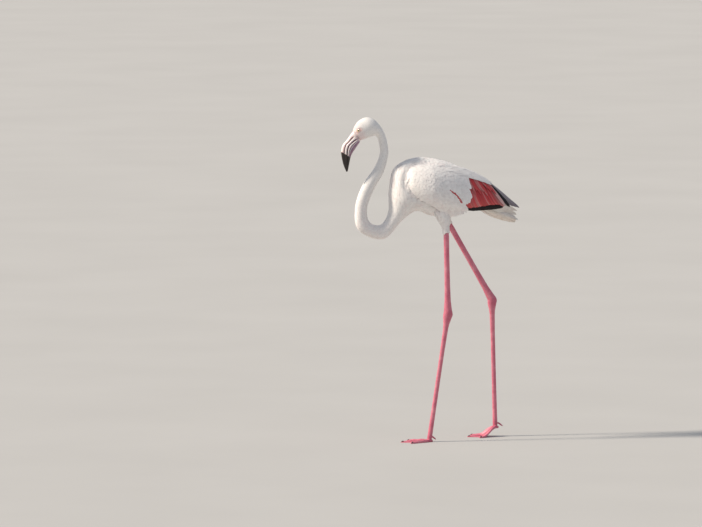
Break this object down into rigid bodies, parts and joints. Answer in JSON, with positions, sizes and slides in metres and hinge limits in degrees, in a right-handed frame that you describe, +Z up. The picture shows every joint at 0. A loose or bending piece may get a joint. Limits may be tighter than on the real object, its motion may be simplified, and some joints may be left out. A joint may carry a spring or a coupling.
{
  "type": "greater flamingo, still life-size model",
  "caption": "Greater flamingo wading forward, neck in an S and bill down, wings folded over coral coverts, standing on its webbed feet.",
  "frame": {"origin": "on the floor, under the middle of the bird's bounding box", "axes": "-X is the way the bird faces, -Y is its left side, +Z is up"},
  "size_m": [0.5381, 0.1696, 0.9538],
  "materials": {
    "plumage": "matt white feathers with a faint pink flush",
    "coral_feathers": "matt coral red feathers with paler edges",
    "black_feathers": "matt black flight feathers",
    "tail_feathers": "matt pale pinkish grey feathers",
    "bill_horn": "satin pink horn with a black tip",
    "leg_skin": "satin scaled pink skin",
    "eye": "glossy pale yellow eye"
  },
  "bodies": {
    "root": {"head": "plumage", "neck_upper": "plumage", "neck_middle": "plumage", "neck_lower": "plumage", "trunk": "plumage", "tail": "tail_feathers", "bill_upper": "bill_horn", "bill_lower": "bill_horn", "left_eye": "eye", "right_eye": "eye", "left_wing": "plumage", "right_wing": "plumage", "left_coral_coverts": "coral_feathers", "right_coral_coverts": "coral_feathers", "left_flight_feathers": "black_feathers", "right_flight_feathers": "black_feathers", "left_thigh": "plumage", "right_thigh": "plumage", "left_shank": "leg_skin", "right_shank": "leg_skin", "left_tarsus": "leg_skin", "right_tarsus": "leg_skin", "left_foot": "leg_skin", "right_foot": "leg_skin", "left_hind_toe": "leg_skin", "right_hind_toe": "leg_skin"}
  },
  "joints": []
}
